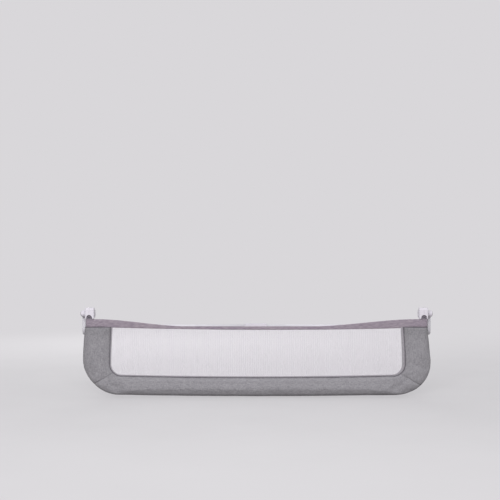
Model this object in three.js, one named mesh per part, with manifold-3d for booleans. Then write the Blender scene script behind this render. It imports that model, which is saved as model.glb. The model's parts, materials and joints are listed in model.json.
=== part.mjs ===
// Folding bed guard rail, folded down: a base frame that lies under the mattress, two push-button hinges,
// and a U-shaped padded rail that hangs outside the bed and swings up half a turn to guard it.
// Millimetres. X runs along the bed, +Y goes in over the bed, +Z is up.
// The origin is on the underside of the base frame, midway along its rear tube.

import * as THREE from "three";
import { mergeVertices } from "three/addons/utils/BufferGeometryUtils.js";
import Module from "manifold-3d";

const wasm = await Module();
wasm.setup();

// Driving dimensions
const postX = 720; // rail post centreline, each side of the middle
const armX = 749; // base arm centreline, each side of the middle
const armDepth = 430; // from the rear tube to the base arm's upright
const pivotHeight = 100; // hinge axis above the bed base
const axisRise = 6; // hinge axis above the level that the rail's drops are measured from
const foldOffset = 32; // hinge axis to the upright, and to the rail post
const roundSteps = 12; // facets round a small circle
const bendSteps = 8; // facets along a right-angle bend
const screwSteps = 8; // facets round a screw
const past = 1; // how far a cutting tool runs past a face
const gap = 0.3; // clearance between pieces that touch

// Rail frame tube; its rise is measured from the hinge axis
const railTube = { radius: 11, bore: 9.8, rise: 23, drop: 322, bend: 135, leg: 360 };
const spigot = { radius: 9.4, bore: 8.2, length: 35, taper: 2 };
const foamRadius = 15.5;

// Padded cover: its inner seam line, its outer edge and its section
const seam = { topX: 629, x: 635, drop: 260, corner: 53, bow: 7 };
const edge = { topX: 739, x: 748, drop: 341, corner: 162, bow: 6 };
const pad = { top: 50, half: 19, band: 12, seamHalf: 2.5, slope: 18, welt: 9 };
const mitre = { halfGap: 0.002, drawIn: 0.12 };
const piping = { radius: 2.8, offset: 4.3, start: 0.02 };
const hem = { top: 15, bottom: 49.5, strip: 1.2, sag: 31, ramp: 390, droop: 10.5, innerX: 632 };
const net = { half: 0.6, columns: 20, rows: 4, strand: 2.6, border: 5 };

// Base frame tube, joiners and sleeves
const flat = { width: 20, height: 12, wall: 1.5, bend: 24, steps: 4 };
const joiner = { width: 26, height: 20, socket: 50, round: 4, web: 3 };
const grip = { length: 90, grooves: 3, groove: 4, depth: 1, halfWidth: 5 };
const screw = { radius: 1.9, hole: 2.2, head: 3.6, headHeight: 2.2, length: 9, seat: 0.05 };
const screwRecess = { radius: 4.1, depth: 2.4 };

// Hinge brackets: the moving one holds the post, the fixed one plugs into the base arm
const moving = { inner: 699.5, outer: 737.5, rise: 28, drop: 20, half: 17.5, boss: 17, round: 8, rim: 2 };
const fixed = { inner: 738.1, step: 746.5, outer: 760, boss: 15.5, cup: 12.4, neck: 12, back: 7.5, plug: 35 };
const fixedEdge = { rim: 1.5, chamfer: 4 };
const arch = { radius: 12, centre: -14, chamfer: 3 };
const shellScrew = { length: 24, recess: 4, depth: 3, places: [[-12, 12.4], [-17, -3]] };

// Push-button lock: a toothed gear slides between the two brackets
const gear = { teeth: 8, tip: 12.5, root: 9.8, thick: 10, half: 9, wideHalf: 15, flank: 4, slack: 0.35 };
const web = { inner: 744.1, outer: 748.5 };
const button = { radius: 9.5, bore: 7.4, face: 761.5, roof: 2 };
const prong = { count: 3, half: 22, slack: 0.2, slackAngle: 2 };
const hook = { radius: 6.5, thick: 1.3 };
const bolt = { radius: 3, head: 5.2, headHeight: 3.5, nut: 5.77, nutInner: 702, nutHeight: 5 };
const spring = { radius: 6.9, wire: 0.6, turns: 3, floor: 717.9, pocket: 8.6, steps: 8 };
const snap = { drop: 13, dome: 3.4, domeHeight: 2, stem: 2.5, hole: 2.9, flange: 4, thick: 0.9, inset: 1.5 };

// Derived places
const armY = -armDepth;
const pivotY = armY - foldOffset;
const railY = pivotY - foldOffset;
const datumZ = pivotHeight - axisRise;
const baseZ = joiner.height / 2;
const gearInner = moving.outer - gap - gear.thick;
const rearEnd = joiner.width / 2 + 3;
const armScrewY = -joiner.width / 2 - 20;
const rearScrewX = armX - joiner.width / 2 - 20;
const centreScrewX = 28;
const bracketScrewZ = pivotHeight - fixed.neck - 18;

const degrees = THREE.MathUtils.degToRad;
const lerp = THREE.MathUtils.lerp;

function finish(color, roughness, metalness = 0) {
  return new THREE.MeshStandardMaterial({ color, roughness, metalness });
}

const materials = {
  whitePlastic: finish(0xeceaf0, 0.45),
  greyPlastic: finish(0x6c6671, 0.5),
  paintedSteel: finish(0x6e6a72, 0.5, 0.4),
  whiteSteel: finish(0xe4e1e8, 0.4, 0.2),
  zincSteel: finish(0xb9bbc0, 0.35, 0.9),
  paddedCloth: finish(0x97939a, 0.95),
  hemCloth: finish(0x968a97, 0.9),
  pipingCloth: finish(0xb4b0b8, 0.85),
  netCloth: finish(0xd6cfdc, 0.8),
  foam: finish(0xd9d7cf, 1),
  rubber: finish(0x4a4a4e, 0.9),
};

// Solids for boolean work

function toSolid(geometry) {
  const bare = geometry.index ? geometry.toNonIndexed() : geometry.clone();
  for (const name of Object.keys(bare.attributes)) {
    if (name !== "position") bare.deleteAttribute(name);
  }
  const merged = mergeVertices(bare);
  return new wasm.Manifold(
    new wasm.Mesh({
      numProp: 3,
      vertProperties: merged.attributes.position.array,
      triVerts: new Uint32Array(merged.index.array),
    }),
  );
}

function toGeometry(solid) {
  const { numProp, numVert, vertProperties, triVerts } = solid.getMesh();
  const position = new Float32Array(numVert * 3);
  for (let i = 0; i < numVert; i++) {
    position.set(vertProperties.subarray(i * numProp, i * numProp + 3), i * 3);
  }
  const geometry = new THREE.BufferGeometry();
  geometry.setAttribute("position", new THREE.BufferAttribute(position, 3));
  geometry.setIndex(new THREE.BufferAttribute(new Uint32Array(triVerts), 1));
  geometry.computeVertexNormals();
  return geometry;
}

function cut(geometry, ...tools) {
  let solid = toSolid(geometry);
  for (const tool of tools) solid = solid.subtract(toSolid(tool));
  return toGeometry(solid);
}

function join(geometry, ...others) {
  let solid = toSolid(geometry);
  for (const other of others) solid = solid.add(toSolid(other));
  return toGeometry(solid);
}

// Section outlines, as lists of [a, b] running anticlockwise

function circle(radius, steps = roundSteps) {
  return Array.from({ length: steps }, (_, i) => {
    const angle = (2 * Math.PI * (i + 0.5)) / steps;
    return [radius * Math.cos(angle), radius * Math.sin(angle)];
  });
}

function flatOval(width, height, steps = 4) {
  const radius = height / 2;
  const points = [];
  for (const side of [1, -1]) {
    for (let i = 0; i <= steps; i++) {
      const angle = Math.PI * (i / steps - 0.5);
      const a = side * (width / 2 - radius + radius * Math.cos(angle));
      points.push([a, side * radius * Math.sin(angle)]);
    }
  }
  return points;
}

// A closed body through rings of points. With inner rings as well it is a tube with open ends.
function loft(outer, inner = []) {
  const triangles = [];
  const wall = (rings, order) => {
    for (let i = 0; i + 1 < rings.length; i++) {
      for (let k = 0; k < rings[i].length; k++) {
        const next = (k + 1) % rings[i].length;
        const corners = [rings[i][k], rings[i][next], rings[i + 1][next], rings[i + 1][k]];
        triangles.push(...order.map((n) => corners[n]));
      }
    }
  };
  wall(outer, [0, 1, 2, 0, 2, 3]);
  wall(inner, [0, 2, 1, 0, 3, 2]);
  triangles.push(...endFace(outer[0], inner[0] ?? []).reverse());
  triangles.push(...endFace(outer.at(-1), inner.at(-1) ?? []));
  return facingOut(triangles);
}

// Triangles across the end of a loft, between its outer ring and the ring of its bore
function endFace(outer, inner) {
  const normal = new THREE.Vector3();
  outer.forEach((point, i) => {
    normal.add(new THREE.Vector3().crossVectors(point, outer[(i + 1) % outer.length]));
  });
  const right = new THREE.Vector3().subVectors(outer[1], outer[0]).projectOnPlane(normal).normalize();
  const up = new THREE.Vector3().crossVectors(normal, right).normalize();
  const flatten = (ring) => ring.map((point) => new THREE.Vector2(point.dot(right), point.dot(up)));
  const contour = flatten(outer);
  const holes = inner.length ? [flatten(inner)] : [];
  const places = [...contour, ...holes.flat()];
  const points = [...outer, ...inner];
  return THREE.ShapeUtils.triangulateShape(contour, holes).flatMap((face) => {
    const [p, q, r] = face.map((n) => places[n]);
    const turn = (q.x - p.x) * (r.y - p.y) - (q.y - p.y) * (r.x - p.x);
    return (turn > 0 ? face : [...face].reverse()).map((n) => points[n]);
  });
}

// Triangles as a geometry, turned over if the body came out inside out
function facingOut(triangles) {
  let volume = 0;
  for (let i = 0; i < triangles.length; i += 3) {
    const normal = new THREE.Vector3().crossVectors(triangles[i + 1], triangles[i + 2]);
    volume += triangles[i].dot(normal);
  }
  const points = volume < 0 ? [...triangles].reverse() : triangles;
  const geometry = new THREE.BufferGeometry().setFromPoints(points);
  geometry.computeVertexNormals();
  return geometry;
}

// A straight bar or tube along an axis; a and b of its section lie along the other two axes
function bar(axis, from, to, centre, outer, inner = null) {
  const place = {
    x: (t, a, b) => new THREE.Vector3(t, centre[0] + a, centre[1] + b),
    y: (t, a, b) => new THREE.Vector3(centre[0] + a, t, centre[1] + b),
    z: (t, a, b) => new THREE.Vector3(centre[0] + a, centre[1] + b, t),
  }[axis];
  const rings = (outline) => [from, to].map((t) => outline.map(([a, b]) => place(t, a, b)));
  return loft(rings(outer), inner ? rings(inner) : []);
}

// A body of revolution about the X axis, from [radius, x] points
function turned(profile, steps = roundSteps) {
  const points = profile.map(([radius, x]) => new THREE.Vector2(radius, x));
  const lathe = new THREE.LatheGeometry(points, steps, Math.PI / steps).rotateZ(-Math.PI / 2);
  const bare = lathe.toNonIndexed();
  const corners = [];
  for (let i = 0; i < bare.attributes.position.count; i++) {
    corners.push(new THREE.Vector3().fromBufferAttribute(bare.attributes.position, i));
  }
  return facingOut(corners);
}

// An outline seen along X (shape x is Y, shape y is Z), extruded from x0 to x1 with rounded rims
function sidePlate(shape, x0, x1, rim = 0, curveSegments = 9) {
  const geometry = new THREE.ExtrudeGeometry(shape, {
    depth: x1 - x0 - 2 * rim,
    bevelEnabled: rim > 0,
    bevelThickness: rim,
    bevelSize: rim,
    bevelOffset: -rim,
    bevelSegments: 1,
    curveSegments,
  });
  const axes = [new THREE.Vector3(0, 1, 0), new THREE.Vector3(0, 0, 1), new THREE.Vector3(1, 0, 0)];
  return geometry.applyMatrix4(new THREE.Matrix4().makeBasis(...axes)).translate(x0 + rim, 0, 0);
}

// An outline in the XZ plane extruded from y0 to y1
function frontPlate(shape, y0, y1, curveSegments = 8) {
  const geometry = new THREE.ExtrudeGeometry(shape, { depth: y1 - y0, bevelEnabled: false, curveSegments });
  return geometry.rotateX(Math.PI / 2).translate(0, y1, 0);
}

function box(x0, x1, y0, y1, z0, z1) {
  const geometry = new THREE.BoxGeometry(x1 - x0, y1 - y0, z1 - z0);
  return geometry.translate((x0 + x1) / 2, (y0 + y1) / 2, (z0 + z1) / 2);
}

function outlineShape(points) {
  return new THREE.Shape(points.map(([a, b]) => new THREE.Vector2(a, b)));
}

function piece(name, geometry, material) {
  const mesh = new THREE.Mesh(geometry, material);
  mesh.name = name;
  return mesh;
}

function assembly(...members) {
  return new THREE.Group().add(...members);
}

// The right-hand pieces are modelled and the left-hand ones are their mirror image
function bothSides(make) {
  const right = make("right");
  const left = make("left");
  left.scale.x = -1;
  return assembly(right, left);
}

// Base frame

// Flat-oval steel tube, running under the mattress and turning up to the hinge
function baseArm() {
  const rings = (outline) => {
    const top = outline.map(([a, b]) => new THREE.Vector3(armX + a, armY - b, armTop));
    const bend = Array.from({ length: flat.steps + 1 }, (_, i) => {
      const angle = ((Math.PI / 2) * i) / flat.steps;
      return outline.map(([a, b]) => {
        const reach = flat.bend + b;
        const y = armY + flat.bend - reach * Math.cos(angle);
        return new THREE.Vector3(armX + a, y, baseZ + flat.bend - reach * Math.sin(angle));
      });
    });
    const rear = outline.map(([a, b]) => new THREE.Vector3(armX + a, -rearEnd, baseZ - b));
    return [top, ...bend, rear];
  };
  const tube = loft(rings(armSection(0)), rings(armSection(-flat.wall)));
  return cut(tube, screwHole(armX, armScrewY), bracketScrewHole());
}

const armTop = pivotHeight - fixed.neck - gap;

// Flat-oval outline of the base tube, grown or shrunk all round
function armSection(grow) {
  return flatOval(flat.width + 2 * grow, flat.height + 2 * grow);
}

// Clearance hole down through a joiner's roof and the tube's upper wall
function screwHole(x, y) {
  return bar("z", baseZ, joiner.height + past, [x, y], circle(screw.hole, screwSteps));
}

// The same hole with a recess that sinks the head below the joiner's top
function sunkScrewHole(x, y) {
  const { radius, depth } = screwRecess;
  const recess = bar("z", joiner.height - depth, joiner.height + past, [x, y], circle(radius));
  return join(screwHole(x, y), recess);
}

// Clearance hole in from the back of the upright
function bracketScrewHole() {
  return bar("y", armY, armY + flat.height, [armX, bracketScrewZ], circle(screw.hole, screwSteps));
}

// A pan-head screw along +X, the underside of its head at the origin
function panScrew(length = screw.length) {
  const profile = [
    [0, -screw.headHeight],
    [screw.head - 1, -screw.headHeight],
    [screw.head, 0],
    [screw.radius, 0],
    [screw.radius, length - 1.5],
    [0, length],
  ];
  return turned(profile, screwSteps);
}

function rearTube() {
  const ends = [joiner.web / 2 + 0.5, armX - rearEnd];
  const tube = bar("x", ...ends, [0, baseZ], armSection(0), armSection(-flat.wall));
  return cut(tube, screwHole(rearScrewX, 0), screwHole(centreScrewX, 0));
}

function tubeSocket(axis, from, to, centre) {
  return bar(axis, from, to, centre, armSection(gap));
}

// A moulded block with eased edges, standing on the bed base
function mouldedSlab(shape, rim = 1.5) {
  const geometry = new THREE.ExtrudeGeometry(shape, {
    depth: joiner.height - 2 * rim,
    bevelThickness: rim,
    bevelSize: rim,
    bevelOffset: -rim,
    bevelSegments: 1,
    curveSegments: 4,
  });
  return geometry.translate(0, 0, rim);
}

// Elbow that joins a base arm to the rear tube
function cornerJoiner() {
  const half = joiner.width / 2;
  const outerX = armX + half;
  const innerX = armX - half;
  const shape = new THREE.Shape();
  shape.moveTo(innerX - joiner.socket, half);
  shape.lineTo(outerX - 2 * joiner.round, half);
  shape.quadraticCurveTo(outerX, half, outerX, half - 2 * joiner.round);
  shape.lineTo(outerX, -half - joiner.socket);
  shape.lineTo(innerX, -half - joiner.socket);
  shape.lineTo(innerX, -half - joiner.round);
  shape.quadraticCurveTo(innerX, -half, innerX - joiner.round, -half);
  shape.lineTo(innerX - joiner.socket, -half);
  return cut(
    mouldedSlab(shape),
    tubeSocket("y", -half - joiner.socket - past, past - rearEnd, [armX, baseZ]),
    tubeSocket("x", innerX - joiner.socket - past, armX - rearEnd + past, [0, baseZ]),
    sunkScrewHole(armX, armScrewY),
    sunkScrewHole(rearScrewX, 0),
  );
}

// Sleeve that joins the two rear tubes; the middle of its flat underside is the origin
function centreJoiner() {
  const half = joiner.width / 2;
  const shape = outlineShape([
    [-joiner.socket, -half],
    [joiner.socket, -half],
    [joiner.socket, half],
    [-joiner.socket, half],
  ]);
  const sockets = [
    tubeSocket("x", joiner.web / 2, joiner.socket + past, [0, baseZ]),
    tubeSocket("x", -joiner.socket - past, -joiner.web / 2, [0, baseZ]),
  ];
  return cut(mouldedSlab(shape), ...sockets, sunkScrewHole(centreScrewX, 0), sunkScrewHole(-centreScrewX, 0));
}

// Ribbed anti-slip sleeve gripped on the base arm
function gripSleeve() {
  const middle = armY / 2;
  const ends = [middle - grip.length / 2, middle + grip.length / 2];
  const sleeve = bar("y", ...ends, [armX, baseZ], flatOval(joiner.width, joiner.height, 8), armSection(gap));
  const grooves = Array.from({ length: grip.grooves }, (_, i) => {
    const y = middle + grip.length * ((i + 1) / (grip.grooves + 1) - 0.5);
    const across = [armX - grip.halfWidth, armX + grip.halfWidth];
    const along = [y - grip.groove / 2, y + grip.groove / 2];
    return box(...across, ...along, joiner.height - grip.depth, joiner.height + past);
  });
  return cut(sleeve, ...grooves);
}

// A screw standing head up in a joiner's recess
function joinerScrew(name, x, y) {
  const mesh = piece(name, panScrew(), materials.zincSteel);
  mesh.rotation.y = Math.PI / 2;
  mesh.position.set(x, y, joiner.height - screwRecess.depth + screw.seat);
  return mesh;
}

function baseFrame() {
  const halves = bothSides((side) =>
    assembly(
      piece(`${side}_base_arm`, baseArm(), materials.whiteSteel),
      piece(`${side}_rear_tube`, rearTube(), materials.whiteSteel),
      piece(`${side}_corner_joiner`, cornerJoiner(), materials.whitePlastic),
      piece(`${side}_grip_sleeve`, gripSleeve(), materials.rubber),
      joinerScrew(`${side}_arm_joiner_screw`, armX, armScrewY),
      joinerScrew(`${side}_rear_joiner_screw`, rearScrewX, 0),
      joinerScrew(`${side}_centre_joiner_screw`, centreScrewX, 0),
    ),
  );
  return assembly(piece("centre_joiner", centreJoiner(), materials.whitePlastic), halves);
}

// Hinges: modelled round the hinge axis, with y and z measured from it

// Side outline of the moving bracket: a post socket beside a round boss
function movingOutline() {
  const front = -foldOffset - moving.half;
  const back = -foldOffset + moving.half;
  const { rise, drop, round, boss } = moving;
  const { chamfer } = arch;
  const shoulder = new THREE.Vector2(back, rise - round);
  const tangent = shoulder.angle() - Math.acos(boss / shoulder.length());
  const foot = Math.acos(-back / boss) - Math.PI;
  const shape = new THREE.Shape();
  shape.moveTo(front + chamfer, -drop);
  shape.lineTo(front, chamfer - drop);
  shape.lineTo(front, rise - round);
  shape.absarc(front + round, rise - round, round, Math.PI, Math.PI / 2, true);
  shape.absarc(back - round, rise - round, round, Math.PI / 2, 0, true);
  shape.absarc(0, 0, boss, tangent, foot, true);
  shape.lineTo(back, chamfer - drop);
  shape.lineTo(back - chamfer, -drop);
  return shape;
}

// Gear outline with two opposite wide teeth, so that it meshes only folded down and raised
function gearOutline(slack) {
  const swell = slack / gear.tip;
  const points = [];
  for (let k = 0; k < gear.teeth; k++) {
    const centre = (2 * Math.PI * k) / gear.teeth;
    const half = degrees(k % (gear.teeth / 2) ? gear.half : gear.wideHalf) + swell;
    const flank = half + degrees(gear.flank);
    const tooth = [[-flank, gear.root], [-half, gear.tip], [half, gear.tip], [flank, gear.root]];
    for (const [angle, radius] of tooth) {
      const reach = radius + slack;
      points.push([reach * Math.cos(centre + angle), reach * Math.sin(centre + angle)]);
    }
  }
  return points;
}

function shaft(from, to, radius, steps = roundSteps) {
  return bar("x", from, to, [0, 0], circle(radius, steps));
}

// One half of the moving bracket; the halves part along the middle of the post
function movingShell(half) {
  const whole = sidePlate(movingOutline(), moving.inner, moving.outer, moving.rim);
  const isOuter = half === "outer";
  const halfSpace = 2 * foldOffset + moving.half;
  const away = isOuter ? [0, postX + gap / 2] : [postX - gap / 2, fixed.outer];
  const cuts = [
    box(...away, -halfSpace, halfSpace, -halfSpace, halfSpace),
    bar("z", -moving.drop - past, railTube.rise + gap, [postX, -foldOffset], circle(railTube.radius + gap)),
    archWindow(),
    shaft(moving.inner - past, moving.outer + past, bolt.radius + gap),
    shaft(spring.floor, gearInner, spring.pocket),
  ];
  if (isOuter) {
    cuts.push(sidePlate(outlineShape(gearOutline(gear.slack)), gearInner - gap, moving.outer + past));
  } else {
    cuts.push(shaft(moving.inner - past, bolt.nutInner + bolt.nutHeight + gap, bolt.nut + gap, 6));
  }
  for (const place of shellScrew.places) {
    const start = moving.inner + shellScrew.depth;
    const reach = start + shellScrew.length + past;
    cuts.push(bar("x", start - past, reach, place, circle(screw.hole, screwSteps)));
    if (!isOuter) cuts.push(bar("x", moving.inner - past, start, place, circle(shellScrew.recess)));
  }
  return cut(whole, ...cuts);
}

// Arched window low in the bracket's face, where the post shows
function archWindow() {
  const shape = new THREE.Shape();
  shape.moveTo(postX - arch.radius, -moving.drop - past);
  shape.lineTo(postX + arch.radius, -moving.drop - past);
  shape.absarc(postX, arch.centre, arch.radius, 0, Math.PI, false);
  return frontPlate(shape, -foldOffset - moving.half - past, -foldOffset);
}

// Sector of a ring round the hinge axis, for the button's prongs and the holes that they run in
function ringSector(from, to, inner, outer, halfAngle, middle) {
  const angles = [-1, 0, 1].map((n) => middle + n * degrees(halfAngle));
  const arc = (radius) => angles.map((angle) => [radius * Math.cos(angle), radius * Math.sin(angle)]);
  return bar("x", from, to, [0, 0], [...arc(outer), ...arc(inner).reverse()]);
}

function prongAngles() {
  return Array.from({ length: prong.count }, (_, i) => Math.PI / 2 + (2 * Math.PI * i) / prong.count);
}

// Side outline of the fixed bracket: the button's cup and a neck back to the base arm
function fixedOutline() {
  const { cup, neck, back } = fixed;
  const { chamfer } = fixedEdge;
  const reach = Math.sqrt(cup * cup - neck * neck);
  const lean = Math.asin(neck / cup);
  const shape = new THREE.Shape();
  shape.moveTo(reach, -neck);
  shape.lineTo(foldOffset + back, -neck);
  shape.lineTo(foldOffset + back, neck - chamfer);
  shape.lineTo(foldOffset + back - chamfer, neck);
  shape.lineTo(reach, neck);
  shape.absarc(0, 0, cup, lean, 2 * Math.PI - lean, false);
  return shape;
}

// Fixed bracket: a boss for the gear, a smaller cup for the button, a neck and a plug down inside the arm
function fixedBracket() {
  const { boss, neck, inner, step, outer } = fixed;
  const { rim } = fixedEdge;
  const body = join(
    sidePlate(fixedOutline(), inner, outer, rim),
    sidePlate(outlineShape(circle(boss, 2 * roundSteps)), inner, step, rim),
    bar("z", -neck - fixed.plug, 0, [armX, foldOffset], armSection(-flat.wall - gap)),
  );
  const { radius, bore } = button;
  const slotHalf = prong.half + prong.slackAngle;
  const holes = prongAngles().map((angle) =>
    ringSector(web.inner - past, web.outer + past, bore - prong.slack, radius + prong.slack, slotHalf, angle),
  );
  const screwDrop = bracketScrewZ - pivotHeight;
  return cut(
    body,
    sidePlate(outlineShape(gearOutline(gear.slack)), inner - past, web.inner),
    shaft(web.outer, outer + past, radius + gap, 2 * roundSteps),
    shaft(web.inner - past, web.outer + past, bolt.radius + gap),
    ...holes,
    bar("y", foldOffset - 8, foldOffset + 8, [armX, screwDrop], circle(screw.hole, screwSteps)),
  );
}

function lockGear() {
  const body = sidePlate(outlineShape(gearOutline(0)), gearInner, gearInner + gear.thick);
  return cut(body, shaft(gearInner - past, gearInner + gear.thick + past, bolt.radius + gap));
}

// Push button: a cup over the bolt head, with three hooked prongs that reach through the web to the gear
function releaseButton() {
  const { radius, bore, face, roof } = button;
  const rim = web.outer + 0.5;
  const cup = turned([
    [0, face - roof],
    [bore, face - roof],
    [bore, rim],
    [radius, rim],
    [radius, face - 1],
    [radius - 1, face],
    [0, face],
  ], 2 * roundSteps);
  const tip = gearInner + gear.thick + gap;
  const prongs = prongAngles().flatMap((angle) => [
    ringSector(tip, rim + 1, bore + 0.1, radius - 0.1, prong.half, angle),
    ringSector(tip, tip + hook.thick, hook.radius, bore + 0.3, prong.half, angle),
  ]);
  return join(cup, ...prongs);
}

function pivotBolt() {
  const { radius, head, headHeight, nutInner } = bolt;
  return turned([
    [0, nutInner - 0.5],
    [radius, nutInner + 0.2],
    [radius, web.outer + 0.1],
    [head, web.outer + 0.1],
    [head, web.outer + headHeight - 1],
    [head - 1, web.outer + headHeight],
    [0, web.outer + headHeight],
  ]);
}

function pivotNut() {
  const ends = [bolt.nutInner, bolt.nutInner + bolt.nutHeight];
  return bar("x", ...ends, [0, 0], circle(bolt.nut, 6), circle(bolt.radius + gap));
}

// Compression spring round the bolt, between the socket's floor and the gear
function lockSpring() {
  const from = spring.floor + gap + spring.wire;
  const to = gearInner - gap - spring.wire;
  const count = spring.turns * spring.steps;
  const rings = Array.from({ length: count + 1 }, (_, i) => {
    const angle = (2 * Math.PI * i) / spring.steps;
    const x = lerp(from, to, i / count);
    return circle(spring.wire, 6).map(([a, b]) => {
      const reach = spring.radius + a;
      return new THREE.Vector3(x + b, reach * Math.cos(angle), reach * Math.sin(angle));
    });
  });
  return loft(rings);
}

// Spring-loaded button that fixes the post in its socket, showing in the arched window
function snapButton() {
  const { flange, stem, dome } = snap;
  const flangeTop = railTube.bore - snap.inset;
  const flangeFoot = flangeTop - snap.thick;
  const seat = railTube.radius + gap;
  const crown = seat + snap.domeHeight;
  const knob = turned([
    [0, flangeFoot],
    [flange, flangeFoot],
    [flange, flangeTop],
    [stem, flangeTop],
    [stem, seat],
    [dome, seat],
    [dome - 1, crown - 0.4],
    [0, crown],
  ], 10);
  return knob.rotateZ(-Math.PI / 2).translate(postX, -foldOffset, -snap.drop);
}

function hinges() {
  return bothSides((side) => {
    const { whitePlastic, greyPlastic, zincSteel } = materials;
    const hinge = assembly(
      piece(`${side}_hinge_base`, fixedBracket(), whitePlastic),
      piece(`${side}_bracket_screw`, panScrew(), zincSteel),
      piece(`${side}_bracket_inner_shell`, movingShell("inner"), whitePlastic),
      piece(`${side}_bracket_outer_shell`, movingShell("outer"), whitePlastic),
      piece(`${side}_lock_gear`, lockGear(), greyPlastic),
      piece(`${side}_lock_spring`, lockSpring(), zincSteel),
      piece(`${side}_release_button`, releaseButton(), greyPlastic),
      piece(`${side}_pivot_bolt`, pivotBolt(), zincSteel),
      piece(`${side}_pivot_nut`, pivotNut(), zincSteel),
      piece(`${side}_snap_button`, snapButton(), zincSteel),
    );
    const bracketScrew = hinge.getObjectByName(`${side}_bracket_screw`);
    bracketScrew.rotation.z = -Math.PI / 2;
    bracketScrew.position.set(armX, foldOffset + flat.height / 2 + screw.seat, bracketScrewZ - pivotHeight);
    shellScrew.places.forEach(([y, z], i) => {
      const mesh = piece(`${side}_shell_screw_${i + 1}`, panScrew(shellScrew.length), zincSteel);
      mesh.position.set(moving.inner + shellScrew.depth - screw.seat, y, z);
      hinge.add(mesh);
    });
    hinge.position.set(0, pivotY, pivotHeight);
    return hinge;
  });
}

// Rail frame and its padded cover

// Where the cover's outer edge, the tube and the inner seam pass a station, as [x, drop].
// Stations run 0 at the hem, 1 and 2 at the ends of the corner bend, 3 at the middle of the bottom bar,
// and on round to 6 at the other hem. The angle is the tube's outward direction.
function station(s) {
  if (s > 3) {
    const twin = station(6 - s);
    const flip = ([x, drop]) => [-x, drop];
    const lines = { edge: flip(twin.edge), tube: flip(twin.tube), seam: flip(twin.seam) };
    return { ...lines, angle: Math.PI - twin.angle };
  }
  const angle = (THREE.MathUtils.clamp(s - 1, 0, 1) * Math.PI) / 2;
  const follow = (x, drop, corner, topX, bow = 0) => {
    const centre = [x - corner, drop - corner];
    if (s < 1) return [lerp(topX, x, Math.sin((s * Math.PI) / 2)), lerp(pad.top, centre[1], s)];
    if (s > 2) return [centre[0] * (3 - s), drop + bow * (1 - (3 - s) ** 2)];
    return [centre[0] + corner * Math.cos(angle), centre[1] + corner * Math.sin(angle)];
  };
  return {
    edge: follow(edge.x, edge.drop, edge.corner, edge.topX, edge.bow),
    tube: follow(postX, railTube.drop, railTube.bend, postX),
    seam: follow(seam.x, seam.drop, seam.corner, seam.topX, seam.bow),
    angle,
  };
}

function railPoint(x, y, drop) {
  return new THREE.Vector3(x, railY + y, datumZ - drop);
}

// A round section square to the tube
function tubeRing([x, drop], angle, radius, steps = roundSteps) {
  const [across, down] = [Math.cos(angle), Math.sin(angle)];
  return circle(radius, steps).map(([a, b]) => railPoint(x + a * across, b, drop + a * down));
}

function stationsBetween(from, to) {
  const marks = [0, 0.5];
  for (let i = 0; i <= bendSteps; i++) marks.push(1 + i / bendSteps);
  marks.push(2.4, 2.75);
  const all = [...marks, 3, ...marks.map((s) => 6 - s).reverse()];
  return [from, ...all.filter((s) => s > from + 0.01 && s < to - 0.01), to];
}

const mitreStation = 1.5;
const postSpan = [0, mitreStation - mitre.halfGap];
const lowerSpan = [mitreStation + mitre.halfGap, 6 - mitreStation - mitre.halfGap];

function sleeveRings(span, radius) {
  return stationsBetween(...span).map((s) => tubeRing(station(s).tube, station(s).angle, radius));
}

// Bent steel post: up into the bracket at one end and along the bottom of the rail at the other
function postTube() {
  const rings = (radius) => [
    tubeRing([postX, -railTube.rise - axisRise], 0, radius),
    ...stationsBetween(1, 2).map((s) => tubeRing(station(s).tube, station(s).angle, radius)),
    tubeRing([railTube.leg, railTube.drop], Math.PI / 2, radius),
  ];
  const [y, z] = [railY - railTube.radius, pivotHeight - snap.drop];
  const hole = bar("y", y - 1, y + 6, [postX, z], circle(snap.hole, 8));
  return cut(loft(rings(railTube.radius), rings(railTube.bore)), hole);
}

// Straight bottom tube with reduced ends that plug into the posts
function lowerTube() {
  const shoulder = railTube.leg - spigot.taper;
  const places = [
    [railTube.leg + spigot.length, true],
    [shoulder, true],
    [shoulder - spigot.taper, false],
  ];
  const all = [...places, ...places.map(([x, reduced]) => [-x, reduced]).reverse()];
  const rings = (full, small) =>
    all.map(([x, reduced]) => tubeRing([x, railTube.drop], Math.PI / 2, reduced ? small : full));
  return loft(rings(railTube.radius, spigot.radius), rings(railTube.bore, spigot.bore));
}

function foamSleeve(span) {
  return loft(sleeveRings(span, foamRadius), sleeveRings(span, railTube.radius + gap));
}

// Section of the padding from its outer edge to its inner seam: full over the tube, then a crowned band
function padRing(s) {
  const { edge: from, tube, seam: to } = station(s);
  const across = new THREE.Vector2(to[0] - from[0], to[1] - from[1]);
  const width = across.length();
  across.normalize();
  const core = across.dot(new THREE.Vector2(tube[0] - from[0], tube[1] - from[1]));
  const shoulder = core + pad.slope;
  const profile = [
    [0.13 * core, 0.5 * pad.half],
    [0.5 * core, 0.87 * pad.half],
    [core, pad.half],
    [shoulder, 0.87 * pad.half],
    [(shoulder + width - pad.welt) / 2, pad.band],
    [width - pad.welt, 0.8 * pad.band],
    [width, pad.seamHalf],
  ];
  const isMitre = Math.min(Math.abs(s - mitreStation), Math.abs(6 - mitreStation - s)) < 0.01;
  const squeeze = isMitre ? 1 - mitre.drawIn : 1;
  const outline = [[0, 0], ...profile, ...profile.map(([a, b]) => [a, -b]).reverse()];
  return outline.map(([a, b]) => railPoint(from[0] + across.x * a, b * squeeze, from[1] + across.y * a));
}

function coverPad(span) {
  const bore = [
    tubeRing([postX, 0], 0, foamRadius + gap),
    ...sleeveRings([0.5, 5.5], foamRadius + gap),
    tubeRing([-postX, 0], Math.PI, foamRadius + gap),
  ];
  return cut(loft(stationsBetween(...span).map(padRing)), loft(bore));
}

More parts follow.
